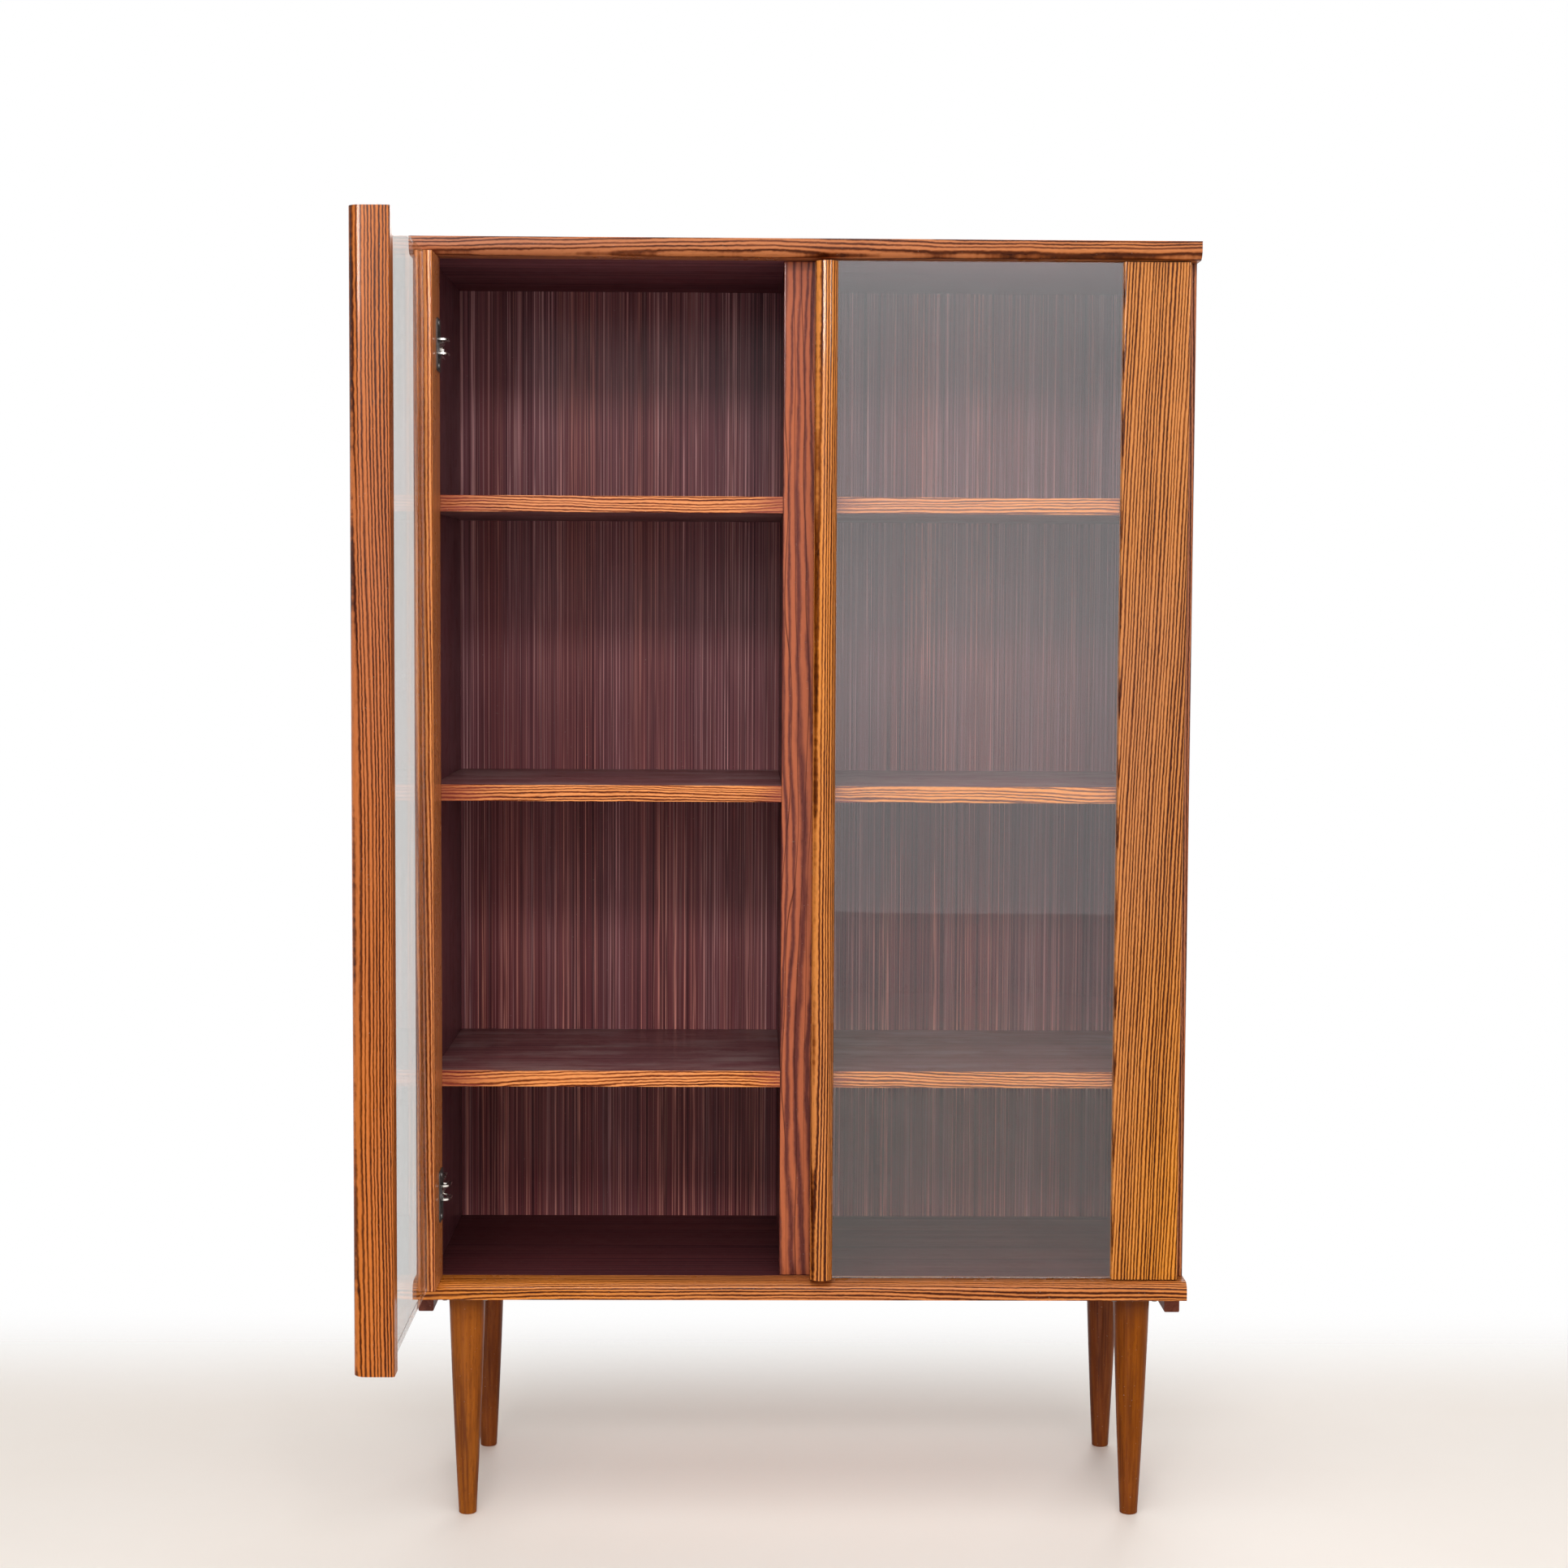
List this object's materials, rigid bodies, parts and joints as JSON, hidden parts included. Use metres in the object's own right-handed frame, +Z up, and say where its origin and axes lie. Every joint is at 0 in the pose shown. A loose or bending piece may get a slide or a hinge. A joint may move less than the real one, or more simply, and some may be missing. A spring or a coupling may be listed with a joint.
{
  "type": "bookcase with glass doors",
  "caption": "Upright wooden bookcase on tapered turned legs, with a central divider, fixed shelves and hinged glass doors with deep rounded pull stiles, one standing open.",
  "frame": {"origin": "centre of the bottom of the model's box, at floor height, with the left door open at a right angle", "axes": "+X to the viewer's right along the front, +Y from the doors to the back, +Z up"},
  "size_m": [0.91, 0.754, 1.4855],
  "materials": {
    "striped_veneer": "striped veneer under gloss lacquer",
    "red_striped_veneer": "reddish striped veneer under gloss lacquer",
    "inner_veneer": "dark stained veneer, satin",
    "back_board": "dark stained board, satin",
    "stained_beech": "stained beech, satin lacquer",
    "clear_glass": "clear float glass, polished edges",
    "bright_steel": "bright plated",
    "dark_steel": "dark zinc plated"
  },
  "bodies": {
    "cabinet": {"top_panel": "striped_veneer", "top_front_lipping": "striped_veneer", "bottom_panel": "inner_veneer", "bottom_front_lipping": "striped_veneer", "left_side_panel": "striped_veneer", "right_side_panel": "striped_veneer", "center_divider": "inner_veneer", "divider_front_strip": "red_striped_veneer", "back_panel": "back_board", "left_bottom_shelf": "striped_veneer", "left_middle_shelf": "striped_veneer", "left_top_shelf": "striped_veneer", "right_bottom_shelf": "striped_veneer", "right_middle_shelf": "striped_veneer", "right_top_shelf": "striped_veneer", "left_base_batten": "stained_beech", "right_base_batten": "stained_beech", "front_left_leg": "stained_beech", "front_left_leg_plate": "dark_steel", "front_left_leg_bolt": "dark_steel", "rear_left_leg": "stained_beech", "rear_left_leg_plate": "dark_steel", "rear_left_leg_bolt": "dark_steel", "front_right_leg": "stained_beech", "front_right_leg_plate": "dark_steel", "front_right_leg_bolt": "dark_steel", "rear_right_leg": "stained_beech", "rear_right_leg_plate": "dark_steel", "rear_right_leg_bolt": "dark_steel", "left_lower_hinge_plate": "bright_steel", "left_lower_hinge_arm": "bright_steel", "left_lower_hinge_arm_screw": "bright_steel", "left_upper_hinge_plate": "bright_steel", "left_upper_hinge_arm": "bright_steel", "left_upper_hinge_arm_screw": "bright_steel", "right_lower_hinge_plate": "bright_steel", "right_lower_hinge_arm": "bright_steel", "right_lower_hinge_arm_screw": "bright_steel", "right_upper_hinge_plate": "bright_steel", "right_upper_hinge_arm": "bright_steel", "right_upper_hinge_arm_screw": "bright_steel"},
    "left_door": {"left_door_hinge_stile": "striped_veneer", "left_door_glass": "clear_glass", "left_door_pull_stile": "striped_veneer", "left_lower_hinge_cup": "bright_steel", "left_lower_hinge_pin": "bright_steel", "left_upper_hinge_cup": "bright_steel", "left_upper_hinge_pin": "bright_steel"},
    "right_door": {"right_door_hinge_stile": "striped_veneer", "right_door_glass": "clear_glass", "right_door_pull_stile": "striped_veneer", "right_lower_hinge_cup": "bright_steel", "right_lower_hinge_pin": "bright_steel", "right_upper_hinge_cup": "bright_steel", "right_upper_hinge_pin": "bright_steel"}
  },
  "joints": [
    {"name": "left_door_hinge", "type": "hinge", "parent": "cabinet", "child": "left_door", "pos_m": [-0.4255, 0.043, 0.875], "axis": [0, 0, -1], "range_deg": [-90, 5]},
    {"name": "right_door_hinge", "type": "hinge", "parent": "cabinet", "child": "right_door", "pos_m": [0.4355, 0.043, 0.875], "axis": [0, 0, 1], "range_deg": [0, 95]}
  ]
}
